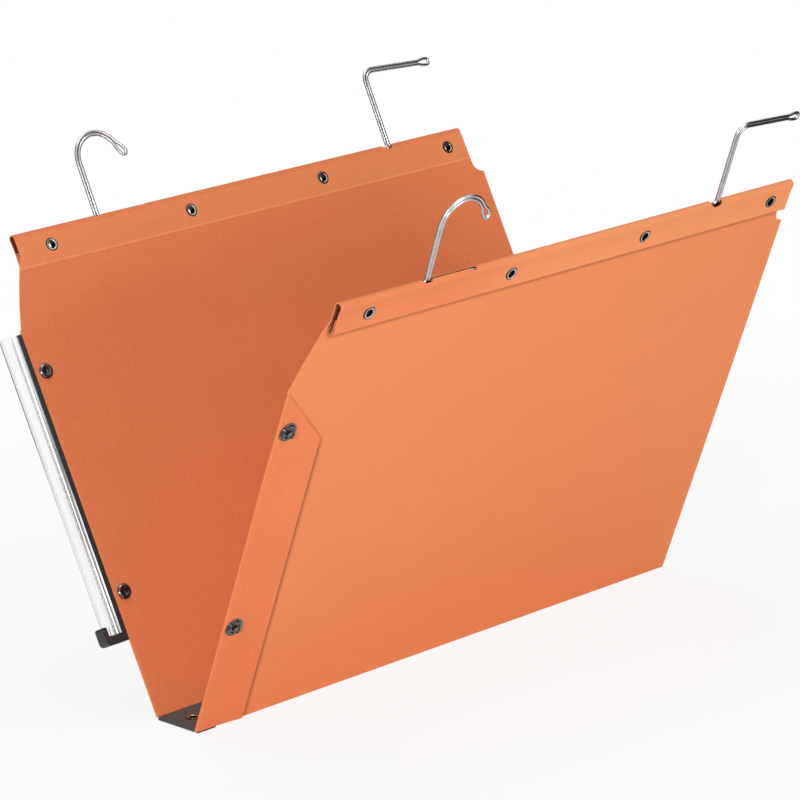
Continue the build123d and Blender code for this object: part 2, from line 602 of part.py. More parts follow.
# Label card: blank paper strip that stands in the window's channel and slides out at the top
with BuildPart() as label_card:
    with BuildSketch(front_level(RAIL_TOP - LABEL_SHORT)):
        with Locations((LABEL_BACK + RUN_GAP + LABEL_THICKNESS / 2, WINDOW_MIDDLE)):
            Rectangle(LABEL_THICKNESS, WINDOW_WIDTH - 2 * (WINDOW_WALL + RUN_GAP))
    extrude(amount=RAIL_TOP - LABEL_SHORT - SEAT - RUN_GAP)
label_card.part.label = "label_card"
export_step(label_card.part, "parts/label_card.step")
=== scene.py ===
from functools import partial
from math import cos, pi, radians, sin

import bmesh
import bpy
import numpy as np
from mathutils import Matrix


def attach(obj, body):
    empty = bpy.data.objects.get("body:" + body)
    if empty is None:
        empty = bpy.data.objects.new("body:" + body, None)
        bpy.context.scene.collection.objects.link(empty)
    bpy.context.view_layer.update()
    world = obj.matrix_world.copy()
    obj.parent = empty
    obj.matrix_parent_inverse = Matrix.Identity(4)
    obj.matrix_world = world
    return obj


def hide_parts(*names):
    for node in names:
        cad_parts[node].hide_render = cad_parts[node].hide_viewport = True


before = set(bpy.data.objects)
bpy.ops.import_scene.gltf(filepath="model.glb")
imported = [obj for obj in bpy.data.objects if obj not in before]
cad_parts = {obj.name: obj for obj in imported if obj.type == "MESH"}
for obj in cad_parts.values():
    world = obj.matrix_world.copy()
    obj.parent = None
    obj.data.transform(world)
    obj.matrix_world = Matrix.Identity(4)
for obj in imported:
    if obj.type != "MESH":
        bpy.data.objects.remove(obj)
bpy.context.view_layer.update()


# Bottom card: the flat strip of orange kraft card between the two creases, 0.6 mm thick. It is one sheet
# with both panels on the real folder, so its long edges are the rounded creases they swing about.
CARD = 0.6
FRONT, REAR = -158.2, 171.8  # front fold and rear edge, in millimetres as all sizes here
HALF_BASE, CREASE_LEVEL, CREASE_ROUND = 15.0, 1.1, 0.46
CARD_FRONT = FRONT + 1.1  # where the strip stops and the board turns under it
BASE_EYELETS = (FRONT + 10.5, REAR - 10.5)
RIVET_HOLE, FLANGE_ROOM = 2.4, 3.7  # radii of the eyelets' holes and of the room for their flanges
RIVET_FEET = (0.45, 1.2)  # levels where the lower flanges start
CUT_LOW, CUT_HIGH = -1.0, 4.0  # levels well past both faces of the base


class Tone:
    """A shader socket: sums and products of tones add Math nodes, and node() adds any other node."""

    def __init__(self, socket):
        self.socket = socket

    def node(self, kind, settings, values, output=0):
        """Adds a node of a type, sets its settings, then gives each named socket its value or link."""
        tree = self.socket.id_data
        made = tree.nodes.new(kind)
        for name, value in settings.items():
            setattr(made, name, value)
        sockets = {socket.identifier: socket for socket in made.inputs}
        for name, value in values.items():
            if isinstance(value, Tone):
                tree.links.new(value.socket, sockets[name])
            else:
                sockets[name].default_value = value
        return Tone(made.outputs[output])

    def maths(self, operation, first, second):
        """Adds a Math node for an operation on two values or tones."""
        return self.node("ShaderNodeMath", {"operation": operation}, {"Value": first, "Value_001": second})

    def __add__(self, other):
        return self.maths("ADD", self, other)

    def __sub__(self, other):
        return self.maths("SUBTRACT", self, other)

    def __rsub__(self, other):
        return self.maths("SUBTRACT", other, self)

    def __mul__(self, other):
        return self.maths("MULTIPLY", self, other)

    __radd__ = __add__
    __rmul__ = __mul__


def dye(red, green, blue):
    """A colour from its 0 to 255 screen values, as the linear values that a shader takes."""
    screen = np.array((red, green, blue)) / 255
    linear = np.where(screen > 0.04045, ((screen + 0.055) / 1.055) ** 2.4, screen / 12.92)
    return (*linear.tolist(), 1.0)


def finish(name, **plain):
    """A new material with plain values on its shader: returns it, the shader and its Object coordinates."""
    material = bpy.data.materials.new(name)
    material.use_nodes = True
    tree = material.node_tree
    shader = tree.nodes["Principled BSDF"]
    for socket, value in plain.items():
        shader.inputs[socket.replace("_", " ")].default_value = value
    return material, shader, Tone(tree.nodes.new("ShaderNodeTexCoord").outputs["Object"])


def speckle(place, size, detail=3.0, stretch=(1.0, 1.0, 1.0)):
    """Soft noise from 0 to 1 whose blotches are about size millimetres wide, drawn out along an axis."""
    pair = {"Vector": place, "Vector_001": stretch}
    drawn = place.node("ShaderNodeVectorMath", {"operation": "MULTIPLY"}, pair)
    return place.node("ShaderNodeTexNoise", {}, {"Vector": drawn, "Scale": 1000 / size, "Detail": detail})


def blend_dyes(amount, first, second):
    """The first colour where amount is 0 and the second where it is 1."""
    return amount.node(
        "ShaderNodeMix",
        {"data_type": "RGBA"},
        {"Factor_Float": amount, "A_Color": first, "B_Color": second},
        output=2,
    )


def paint(shader, **tones):
    """Links tones to the shader's sockets, a height in millimetres through a Bump node."""
    for socket, tone in tones.items():
        if socket == "Height":
            values = {"Height": tone, "Distance": 0.001, "Strength": 1.0}
            socket, tone = "Normal", tone.node("ShaderNodeBump", {}, values)
        tone.socket.id_data.links.new(tone.socket, shader.inputs[socket.replace("_", " ")])


def kraft_finish(name, dark, light, rough, painted_shade_weight=0.0):
    """Kraft card: orange pulp with soft cloudy blotches and fine fibres, the more so on its rough side.

    A painted highlight makes it paler where a mesh's highlight attribute is high, and a painted shade
    makes it dark brown, scaled by the last argument, where its shade attribute is.
    """
    material, shader, place = finish(name, Specular_IOR_Level=0.14)
    clouds = speckle(place, 28, 2.0)
    pulp = speckle(place, 1.6, 4.0)
    fibres = speckle(place, 0.5, 3.0, (0.35, 1.0, 1.0))
    shade = (clouds - 0.5) * 0.35 + ((pulp - 0.5) * 0.9 + (fibres - 0.5) * 0.7) * rough + 0.5
    painted_highlight = place.node("ShaderNodeAttribute", {"attribute_name": "painted_highlight"}, {}, output=2)
    # Painted highlight: a pale dye mixed in by the highlight attribute.
    body = blend_dyes(painted_highlight, blend_dyes(shade, dye(*dark), dye(*light)), dye(252, 182, 124))
    # Painted shade: dark brown mixed in by the shade attribute, scaled by the last argument.
    painted_shade = place.node("ShaderNodeAttribute", {"attribute_name": "painted_shade"}, {}, output=2)
    body = blend_dyes(painted_shade * painted_shade_weight, body, dye(84, 30, 18))
    relief = (pulp * 0.035 + fibres * 0.03) * rough
    paint(shader, Base_Color=body, Roughness=0.56 + pulp * 0.12 + 0.08 * rough, Height=relief)
    return material


def grid_faces(rows, columns, around=False):
    """Quads of a grid of points, where around joins the last column to the first."""
    row, column = np.meshgrid(np.arange(rows - 1), np.arange(columns - (not around)), indexing="ij")
    following = (column + 1) % columns
    corners = [(row, column), (row, following), (row + 1, following), (row + 1, column)]
    return np.stack([i * columns + j for i, j in corners], axis=-1).reshape(-1, 4)


def soften(mesh):
    """Shades a mesh smooth, apart from edges sharper than 40 degrees."""
    mesh.shade_smooth()
    mesh.set_sharp_from_angle(angle=radians(40))


def new_piece(name, points, faces, *materials):
    """A piece from points in millimetres and faces: doubled points are merged, faces turned outwards."""
    mesh = bpy.data.meshes.new(name)
    mesh.from_pydata((np.reshape(points, (-1, 3)) * 0.001).tolist(), [], faces)
    shell = bmesh.new()
    shell.from_mesh(mesh)
    bmesh.ops.remove_doubles(shell, verts=shell.verts, dist=1e-7)
    bmesh.ops.recalc_face_normals(shell, faces=shell.faces)
    shell.to_mesh(mesh)
    shell.free()
    soften(mesh)
    for material in materials:
        mesh.materials.append(material)
    piece = bpy.data.objects.new(name, mesh)
    bpy.context.scene.collection.objects.link(piece)
    return piece


def bars(sections):
    """Points and faces of closed bars: each of K bars has R sections of N points, capped at both ends."""
    count, rows, size = sections.shape[:3]
    sides = grid_faces(rows, size, around=True)
    ring = np.arange(size)
    starts = np.arange(count) * rows * size
    faces = (starts[:, None, None] + sides).reshape(-1, 4).tolist()
    faces += (starts[:, None] + ring).tolist() + (starts[:, None] + (rows - 1) * size + ring).tolist()
    return sections.reshape(-1, 3), faces


def posts_through(centres, radius, low, high, put):
    """Round bars of a radius about centres, from level low to high, put in place by put(a, b, level)."""
    turn = np.linspace(0, 2 * pi, 48, endpoint=False)
    a = centres[:, 0, None, None] + radius * np.cos(turn)
    b = centres[:, 1, None, None] + radius * np.sin(turn)
    return bars(put(a, b, np.array([low, high])[None, :, None]))


def settle(piece):
    """Makes what a piece's modifiers give its own mesh."""
    settled = piece.evaluated_get(bpy.context.evaluated_depsgraph_get())
    piece.data, worked = bpy.data.meshes.new_from_object(settled), piece.data
    piece.modifiers.clear()
    bpy.data.meshes.remove(worked)


def cut_out(piece, *solids):
    """Cuts solids, given as points and faces, out of a piece."""
    for number, (points, faces) in enumerate(solids):
        cutter = new_piece(f"{piece.name}_cut_{number}", points, faces)
        cut = piece.modifiers.new("cut", "BOOLEAN")
        cut.operation, cut.solver, cut.object = "DIFFERENCE", "EXACT", cutter
        settle(piece)
        bpy.data.objects.remove(cutter)
    soften(piece.data)


def level_spot(x, y, z):
    """A point from its three coordinates, each an array."""
    return np.stack(np.broadcast_arrays(x, y, z), axis=-1)


kraft_inside = kraft_finish("kraft_inside", (222, 122, 77), (236, 138, 91), 1.0)
half_turn = np.linspace(-pi / 2, pi / 2, 15)
crease_y = HALF_BASE + CREASE_ROUND * np.cos(half_turn)
crease_z = CREASE_LEVEL + CREASE_ROUND * np.sin(half_turn)
neck = HALF_BASE - CREASE_ROUND
under, over = CREASE_LEVEL - CARD / 2, CREASE_LEVEL + CARD / 2
strip_y = np.concatenate([[neck], crease_y, [neck, -neck], -crease_y[::-1], [-neck]])
strip_z = np.concatenate([[under], crease_z, [over, over], crease_z[::-1], [under]])
strip = level_spot(np.linspace(CARD_FRONT, REAR, 40)[None, :, None], strip_y, strip_z)
bottom = new_piece("card_bottom", *bars(strip), kraft_inside)
eyelet_spots = np.array([(x, 0.0) for x in BASE_EYELETS])
cut_out(
    bottom,
    posts_through(eyelet_spots, RIVET_HOLE, CUT_LOW, CUT_HIGH, level_spot),
    posts_through(eyelet_spots[1:], FLANGE_ROOM, CUT_LOW, RIVET_FEET[1], level_spot),
)
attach(bottom, "base")
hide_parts("bottom_card")


# Base board: charcoal pressboard, 0.8 mm thick, that keeps the bottom flat. It lies on the card, and its
# front end turns under the card as a short lip with cut corners, thinned where it passes below the creases.
BOARD, LIP_THIN = 0.8, 0.4
BOARD_HALF, LIP_PROUD = 14.3, 0.9
LIP_END, LIP_CORNER = FRONT + 16.0, 4.0


def board_rings():
    """Closed sections of the board along its path: the flat from the rear, the half turn, then the lip.

    A section runs over the outer face at half a thickness from the path, in along each side's thinned edge,
    and back over the inner face. The edges grow out from the board's sides over the lower half of the turn.
    """
    flat, lip, corner = 59, 7, 5
    bend = np.linspace(pi / 2, 3 * pi / 2, 17)
    facing = np.concatenate([np.full(flat, pi / 2), bend, np.full(lip + corner, 3 * pi / 2)])
    x = np.concatenate(
        [
            np.linspace(REAR - 2, CARD_FRONT, flat + 1)[:-1],
            CARD_FRONT + (CARD + BOARD) / 2 * np.cos(bend),
            np.linspace(CARD_FRONT, LIP_END - LIP_CORNER, lip + 1)[1:],
            np.linspace(LIP_END - LIP_CORNER, LIP_END, corner + 1)[1:],
        ]
    )
    z = CREASE_LEVEL + (CARD + BOARD) / 2 * np.sin(facing)
    half = BOARD_HALF - np.clip(x - LIP_END + LIP_CORNER, 0, None) * (facing > pi)
    side = half[:, None]
    edge = side + LIP_PROUD * np.clip(facing / (pi / 2) - 2, 0, 1)[:, None]
    across = side * np.linspace(-1, 1, 15)
    y = np.hstack([-edge, across, edge, edge, side, across[:, ::-1], -side, -edge])
    thin = [BOARD / 2 - LIP_THIN] * 2
    out = np.concatenate([np.full(17, BOARD / 2), thin, np.full(15, -BOARD / 2), thin])
    x = x[:, None] + out * np.cos(facing)[:, None]
    z = z[:, None] + out * np.sin(facing)[:, None]
    return level_spot(x, y, z)


pressboard, shader, place = finish("pressboard", Specular_IOR_Level=0.35)
flecks = speckle(place, 1.1, 4.0)
grain = speckle(place, 0.35, 2.0, (1.0, 0.4, 1.0))
mottle = (flecks - 0.5) * 1.6 + (grain - 0.5) * 0.8 + 0.5
paint(
    shader,
    Base_Color=blend_dyes(mottle, dye(54, 54, 52), dye(82, 82, 80)),
    Roughness=0.5 + flecks * 0.2,
    Height=flecks * 0.05 + grain * 0.04,
)

board = new_piece("base_board_turned", *bars(board_rings()[None]), pressboard)
cut_out(
    board,
    posts_through(eyelet_spots, RIVET_HOLE, CUT_LOW, CUT_HIGH, level_spot),
    posts_through(eyelet_spots[:1], FLANGE_ROOM, CUT_LOW, RIVET_FEET[0], level_spot),
)
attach(board, "base")
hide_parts("base_board")


# Side panels: the two large walls of the same kraft sheet. The top edge is rolled out over the hem wire,
# down the outside and turned in again; the front edge is folded out and back as a flap.
LEAN = radians(25)
PANEL_LENGTH, FOLD_TOP, REAR_TOP, BITE = 330.0, 204.5, 225.5, 6.0
HEM_FRONT, HEM_REAR, HEM_FOOT, SCORE = 15.5, 324.0, 235.3, 234.2
CORNER_TOP, CORNER_BULGE = 241.5, 0.8
ROLL_OUT, ROLL_UP, ROLL_ROUND = 2.0, 250.2, 2.0
FLAP_WIDTH, FLAP_TOP, FLAP_FOOT, FLAP_LIFT = 28.5, 172.5, 0.6, 1.2
FOLD_ROUND, BOW = 0.3, 0.5
SWAY, SWAY_RUN, SWAY_RISE = 1.6, 60, 90
SCORE_HALF, SCORE_DENT, DENT_BELOW, DENT_ABOVE = 0.45, 0.45, 90, 15
GATHER_RUN, GATHER_LEAST = 14.0, 0.7
SHEET = 0.55
HEM_EYELETS = 36.0 + 91.7 * np.arange(4)
EYELET_UP, EYELET_HOLE = 242.8, 2.35
SLOTS = (70.7, 6.2, 1.6, 2.0), (84.65, 34.7, 0.68, 1.68), (100.0, 4.2, 1.4, 2.1)  # middle, run, half, out
SLOT_FLOOR, SLOT_TOP = 250.7, 256.0
REAR_LEGS = (269.0, 272.5)  # where the rear hooks stand, near and far
NOTCH_AHEAD, NOTCH_UP, NOTCH_ROUND = 1.5, 254.6, 4.8
HEM_TURN = 0.72  # how far above its foot the hem's lower turn starts
SHEEN_START, SHEEN_RUN = 80, 80  # where along the hem the painted sheen begins, and over what length it grows
HEM_SHADE = [230.0, 231.9, 234.0, 236.0], [0, 0.4, 0.6, 1]  # heights below the hem and their painted shadow
FLAP_SHADE = [26.0, 30.8, 33.2], [0.6, 0.4, 0]  # distances from the fold and the painted shadow there


def on_panel(side, u, v, w):
    """A point u along the folder, v up a panel and w out of it; side is -1 near and 1 far.

    The near panel's front edge is drawn forward by up to SWAY below the hem: the sheet is a little twisted.
    """
    y = side * (HALF_BASE + v * sin(LEAN) + w * cos(LEAN))
    z = CREASE_LEVEL + v * cos(LEAN) - w * sin(LEAN)
    sway = SWAY * (side < 0) * np.clip(1 - u / SWAY_RUN, 0, 1)
    sway = sway * np.clip((CORNER_TOP - v) / SWAY_RISE, 0, 1)
    return level_spot(FRONT + u - sway, y, z)


def hem_line(turn_end, outer, inner):
    """The hem's section from the top of the panel: round the roll, down the outer layer, in and up again.

    Each leg is resampled evenly by length and rounded by three passes of a 1-2-1 average.
    """
    turn = np.radians(np.linspace(180, turn_end, 26))
    roll = np.stack([ROLL_OUT + ROLL_ROUND * np.cos(turn), ROLL_UP + ROLL_ROUND * np.sin(turn)], axis=-1)
    foot = (outer[-1][0] + inner[0][0]) / 2, outer[-1][1]
    hook = np.radians(np.linspace(0, -180, 11))
    reach = (outer[-1][0] - inner[0][0]) / 2
    bend = np.stack([foot[0] + reach * np.cos(hook), foot[1] + reach * np.sin(hook)], axis=-1)
    legs = [roll]
    for corners, count in ((np.vstack([roll[-1:], outer]), 26), (bend, 11), (np.array(inner), 14)):
        run = np.concatenate([[0], np.cumsum(np.hypot(*np.diff(corners, axis=0).T))])
        even = np.linspace(0, run[-1], count)
        leg = np.stack([np.interp(even, run, corners[:, k]) for k in range(2)], axis=-1)
        legs.append(leg[1:])
    line = np.vstack(legs)
    for _ in range(3):
        line[1:-1] = (line[:-2] + 2 * line[1:-1] + line[2:]) / 4
    return line


def panel_sheet(side):
    """The panel's middle surface as rows up the panel and round the hem, and columns from flap to rear.

    Below the hem a row is level: the flap from its free edge to the fold, the fold's half turn, and the
    panel to its rear edge; above the fold its front end lies on an arc with a rise of CORNER_BULGE. In the
    hem a row follows the hem's section, which is drawn in at each eyelet and hangs open at both ends. The
    marks are painted light and shade: a painted highlight along the fold and over the hem, paler towards
    the rear; a painted highlight along the score line inside, with paler painted light above it; and
    painted shade inside the hem, with painted shadow under the hem and beside the flap.
    """
    rise = np.concatenate(
        [
            np.linspace(0, FLAP_FOOT, 2)[:-1],
            np.linspace(FLAP_FOOT, FLAP_TOP, 26)[:-1],
            np.linspace(FLAP_TOP, FOLD_TOP, 12)[:-1],
            np.linspace(FOLD_TOP, REAR_TOP, 14)[:-1],
            REAR_TOP + BITE * (1 - np.cos(np.linspace(0, pi / 2, 12))),
            SCORE + np.array([-1.6, -SCORE_HALF, -0.2, 0.0, 0.2, SCORE_HALF]),
            np.linspace(SCORE + SCORE_HALF, CORNER_TOP, 9)[1:-1],
            np.linspace(CORNER_TOP, ROLL_UP, 10)[:-1],
        ]
    )
    foot = HEM_FOOT + HEM_TURN
    slack = hem_line(-15, [(3.5, 246.0), (3.5, foot)], [(2.6, foot), (2.6, 243.0)])
    drawn = hem_line(
        -20,
        [(3.1, 246.4), (2.8, 244.4), (2.8, 241.4), (3.5, foot)],
        [(2.6, foot), (2.05, 240.8), (2.05, 245.2)],
    )
    up = np.concatenate([rise, slack[:, 1]])
    flat = len(rise)

    chord = np.array([HEM_FRONT - 2 * FOLD_ROUND, CORNER_TOP - FOLD_TOP])
    span = np.linalg.norm(chord)
    radius = (span**2 / 4 + CORNER_BULGE**2) / (2 * CORNER_BULGE)
    middle = (2 * FOLD_ROUND, FOLD_TOP) + chord / 2
    centre = middle + (radius - CORNER_BULGE) * np.array([chord[1], -chord[0]]) / span
    front = centre[0] - np.sqrt(radius**2 - (np.clip(rise, FOLD_TOP, CORNER_TOP) - centre[1]) ** 2)
    rear = PANEL_LENGTH - np.sqrt(BITE**2 - np.clip(REAR_TOP + BITE - rise, 0, BITE) ** 2)
    rear = np.where(rise < REAR_TOP, PANEL_LENGTH, rear)
    front = np.concatenate([front, np.full(len(slack), HEM_FRONT)])
    rear = np.concatenate([rear, np.full(len(slack), HEM_REAR)])
    beside = np.linspace(FLAP_WIDTH + 1, FLAP_WIDTH + 6, 11) / PANEL_LENGTH
    along = np.unique(np.concatenate([np.linspace(0, 1, 151), beside]))
    u = front[:, None] + (rear - front)[:, None] * along
    v = np.repeat(up[:, None], len(along), axis=1)
    score = np.clip(1 - np.abs(rise - SCORE) / np.where(rise < SCORE, DENT_BELOW, DENT_ABOVE), 0, 1)
    bow = BOW * np.sin(pi * np.clip(rise / SCORE, 0, 1))[:, None] * np.sin(pi * u[:flat] / PANEL_LENGTH)
    w = np.concatenate([bow - SCORE_DENT * score[:, None], np.zeros((len(slack), len(along)))])

    ease = np.clip(np.minimum(u[flat:] - HEM_FRONT, HEM_REAR - u[flat:]) / GATHER_RUN, 0, 1)
    pull = np.exp(-(((u[flat:, :, None] - HEM_EYELETS) / GATHER_RUN) ** 4)).max(axis=2)
    gather = (GATHER_LEAST + (1 - GATHER_LEAST) * pull) * ease**2 * (3 - 2 * ease)
    v[flat:] = slack[:, None, 1] + gather * (drawn - slack)[:, None, 1]
    w[flat:] = slack[:, None, 0] + gather * (drawn - slack)[:, None, 0]

    reach = np.clip((FOLD_TOP - up) / (FOLD_TOP - FLAP_TOP), 0, 1) * (FLAP_WIDTH - 2 * FOLD_ROUND)
    reach[flat:] = 0
    spread = np.linspace(1, 0, 15)[:-1]
    turn = np.linspace(pi / 2, -pi / 2, 9)[:-1]
    edge = len(spread) + len(turn)
    flap_u = 2 * FOLD_ROUND + reach[:, None] * spread
    flap_w = 2 * FOLD_ROUND + FLAP_LIFT * (flap_u / FLAP_WIDTH) ** 2
    fold_u = np.repeat(2 * FOLD_ROUND - FOLD_ROUND * np.cos(turn)[None], len(up), axis=0)
    fold_w = np.repeat(FOLD_ROUND + FOLD_ROUND * np.sin(turn)[None], len(up), axis=0)
    side_v = np.repeat(up[:, None], edge, axis=1)
    points = on_panel(
        side,
        np.hstack([flap_u, fold_u, u]),
        np.hstack([side_v, v]),
        np.hstack([flap_w, fold_w, w]),
    )

    rows, columns = points.shape[:2]
    faces = grid_faces(rows, columns)
    row, column = faces[:, 0] // columns, faces[:, 0] % columns
    folded = (up[row] >= FLAP_FOOT - 1e-6) & (up[row] < FOLD_TOP - 1e-6) & (row < flat)
    faces = faces[(column >= edge) | folded]
    painted_highlight = np.zeros((rows, columns))
    # Painted highlight: a faint pale line along the fold.
    painted_highlight[:, len(spread) + 1 : edge] = 0.05
    # Painted sheen: the hem from near the top of its roll down is painted paler, more so towards the rear.
    sheen_ramp = np.clip((u[flat:] - SHEEN_START) / SHEEN_RUN, 0, 1)
    painted_highlight[flat + 8 :, edge:] = 0.06 + 0.24 * (sheen_ramp**2 * (3 - 2 * sheen_ramp))[8:]
    # Painted highlight along the score line on the inner face, and paler painted light over the panel above
    # it.
    score_highlight = np.zeros((rows, columns))
    line = 0.6 * np.clip(1 - np.abs(rise - SCORE) / SCORE_HALF, 0, 1)
    score_highlight[:flat, edge:] = (line + 0.16 * (rise > SCORE))[:, None]
    # Painted shade inside the hem, and painted shadow on the panel just below the hem and beside the flap's
    # rear edge.
    painted_shade = np.zeros((rows, columns))
    under_hem = np.interp(rise, *HEM_SHADE)[:, None]
    beside_flap = np.interp(u[:flat], *FLAP_SHADE) * (rise < FLAP_TOP)[:, None]
    inside = np.clip((u[:flat] - HEM_FRONT + 0.5) / 1.5, 0, 1)
    painted_shade[:flat, edge:] = np.maximum(under_hem * inside, beside_flap)
    painted_shade[flat:, edge:] = 1
    return points, faces, painted_highlight, score_highlight, painted_shade


# Only the outer side takes the painted shade.
kraft_outside = kraft_finish("kraft_outside", (228, 135, 86), (237, 145, 95), 0.45, 0.9)
kraft_edge = kraft_finish("kraft_edge", (232, 141, 95), (243, 158, 112), 0.8)


def panel(side, name):
    """One panel: its sheet given thickness, with holes for the eyelets and openings for the hooks."""
    points, faces, *marks = panel_sheet(side)
    used, numbers = np.unique(faces, return_inverse=True)
    points = points.reshape(-1, 3)[used]
    painted_highlight, score_highlight, painted_shade = [mark.ravel()[used] for mark in marks]
    faces = numbers.reshape(-1, 4)
    mesh = bpy.data.meshes.new(name)
    mesh.from_pydata((points * 0.001).tolist(), [], (faces if side < 0 else faces[:, ::-1]).tolist())
    for material in (kraft_outside, kraft_inside, kraft_edge):
        mesh.materials.append(material)
    piece = bpy.data.objects.new(name, mesh)
    bpy.context.scene.collection.objects.link(piece)
    wall = piece.modifiers.new("wall", "SOLIDIFY")
    wall.thickness, wall.offset, wall.use_even_offset = SHEET * 0.001, 0.0, True
    wall.material_offset, wall.material_offset_rim = 1, 2
    settle(piece)
    for label, outer, inner in (("painted_highlight", painted_highlight, painted_highlight + score_highlight), ("painted_shade", painted_shade, 0 * painted_shade)):
        mark = piece.data.attributes.new(label, "FLOAT", "POINT")
        mark.data.foreach_set("value", np.concatenate([outer, inner]).astype(np.float32))

    put = partial(on_panel, side)
    spots = np.stack([HEM_EYELETS, np.full(4, EYELET_UP)], axis=-1)
    holes = posts_through(spots, EYELET_HOLE, -2.0, 4.0, put)
    notch_spot = np.array([(REAR_LEGS[side > 0] - NOTCH_AHEAD, NOTCH_UP)])
    notch = posts_through(notch_spot, NOTCH_ROUND, -3.0, 7.0, put)
    depth = np.array([SLOT_FLOOR, SLOT_TOP])[None, :, None]
    turn = np.linspace(0, 2 * pi, 64, endpoint=False)
    slots = []
    for middle, run, half, out in SLOTS:
        slot_u = middle + np.sign(np.cos(turn)) * (run / 2 - half) + half * np.cos(turn)
        slot_w = out + half * np.sin(turn)
        slots.append(bars(put(slot_u, depth, slot_w)))
    cut_out(piece, holes, notch, *slots)
    return piece


for side, name in ((-1, "near"), (1, "far")):
    wall_piece = panel(side, f"card_{name}_panel")
    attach(wall_piece, f"{name}_side")
    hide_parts(f"{name}_panel")


# Hem wires: one bright steel wire, 1.6 mm thick, lies in each hem. It is bent up through the slot into a
# doubled hook at the front and a doubled level arm at the rear, each closed by a small flattened eye.
WIRE, WIRE_SPREAD, WIRE_UP, WIRE_TILT, WIRE_TAPER = 1.6, 0.86, 250.7, 0.03, 0.25
HEM_TOP, ROD_SHORT = 252.5, 3.0
FRONT_LEG, FRONT_BEND, FRONT_RISE, FRONT_FALL, FRONT_RUN = 70.5, 13.5, 28.0, 55, 10.0
REAR_BEND, REAR_RISE, REAR_FALL = 6.0, 36.0, 3
REAR_RUNS = (37.5, 41.5)  # lengths of the level arms, near and far
EYE_NECK, EYE_LONG, EYE_HALF = 8.0, 4.5, 1.75
FOOT_ROUND, NECK_ROUND, EYE_ROUND = 2.2, 3.0, 1.6


def hairpin(leg, centre, bend, fall, run):
    """Corners and bend radii of a doubled hook: up the outer wire, round the eye, down the inner wire.

    The legs stand at u = leg, bend about centre until they slope down by fall, and run on straight; the
    corner of each wire is where its leg would meet its straight end.
    """
    slope = radians(fall)
    along, side = np.array([cos(slope), -sin(slope)]), np.array([sin(slope), cos(slope)])
    start = np.array(centre) + side * bend
    grow = (1 + sin(slope)) / cos(slope)
    outer, inner = bend + WIRE_SPREAD, bend - WIRE_SPREAD
    eye = [(run - EYE_NECK, WIRE_SPREAD), (run - EYE_LONG, EYE_HALF), (run, EYE_HALF)]
    eye += [(a, -b) for a, b in reversed(eye)]
    corners = [
        np.array([leg - WIRE_SPREAD, WIRE_UP]),
        np.array(centre) + (-outer, outer * grow),
        *[start + along * a + side * b for a, b in eye],
        np.array(centre) + (-inner, inner * grow),
        np.array([leg + WIRE_SPREAD, WIRE_UP]),
    ]
    eye_bends = [NECK_ROUND, NECK_ROUND, EYE_ROUND, EYE_ROUND, NECK_ROUND, NECK_ROUND]
    return corners, [FOOT_ROUND, outer, *eye_bends, inner, FOOT_ROUND]


def wire_line(corners, bends):
    """Points and directions along corners rounded by arcs: an arc turns its start about its own centre."""
    into = np.diff(corners, axis=0)
    into /= np.linalg.norm(into, axis=1)[:, None]
    first, last = into[:-1], into[1:]
    turn = np.arctan2(first[:, 0] * last[:, 1] - first[:, 1] * last[:, 0], (first * last).sum(axis=1))
    square = np.stack([-first[:, 1], first[:, 0]], axis=-1) * np.sign(turn)[:, None]
    start = corners[1:-1] - first * (bends * np.tan(np.abs(turn) / 2))[:, None]
    part = np.linspace(0, 1, 17)[None, :, None] * turn[:, None, None]

    def spin(way):
        """Directions turned by each part of their bend: cos(part) way + sin(part) its left normal."""
        left = np.stack([-way[:, 1], way[:, 0]], axis=-1)
        return np.cos(part) * way[:, None] + np.sin(part) * left[:, None]

    arcs = (start + square * bends[:, None])[:, None] + spin(-square * bends[:, None])
    points = np.vstack([corners[:1], arcs.reshape(-1, 2), corners[-1:]])
    ways = np.vstack([into[:1], spin(first).reshape(-1, 2), into[-1:]])
    return points, ways


bright_wire, shader, place = finish("bright_wire", Metallic=1.0)
drawing = speckle(place, 2.4, 3.0, (0.2, 1.0, 1.0))
smears = speckle(place, 9.0, 2.0)
paint(
    shader,
    Base_Color=blend_dyes(drawing, dye(168, 169, 170), dye(206, 207, 208)),
    Roughness=0.15 + smears * 0.1 + drawing * 0.04,
    Height=drawing * 0.002,
)

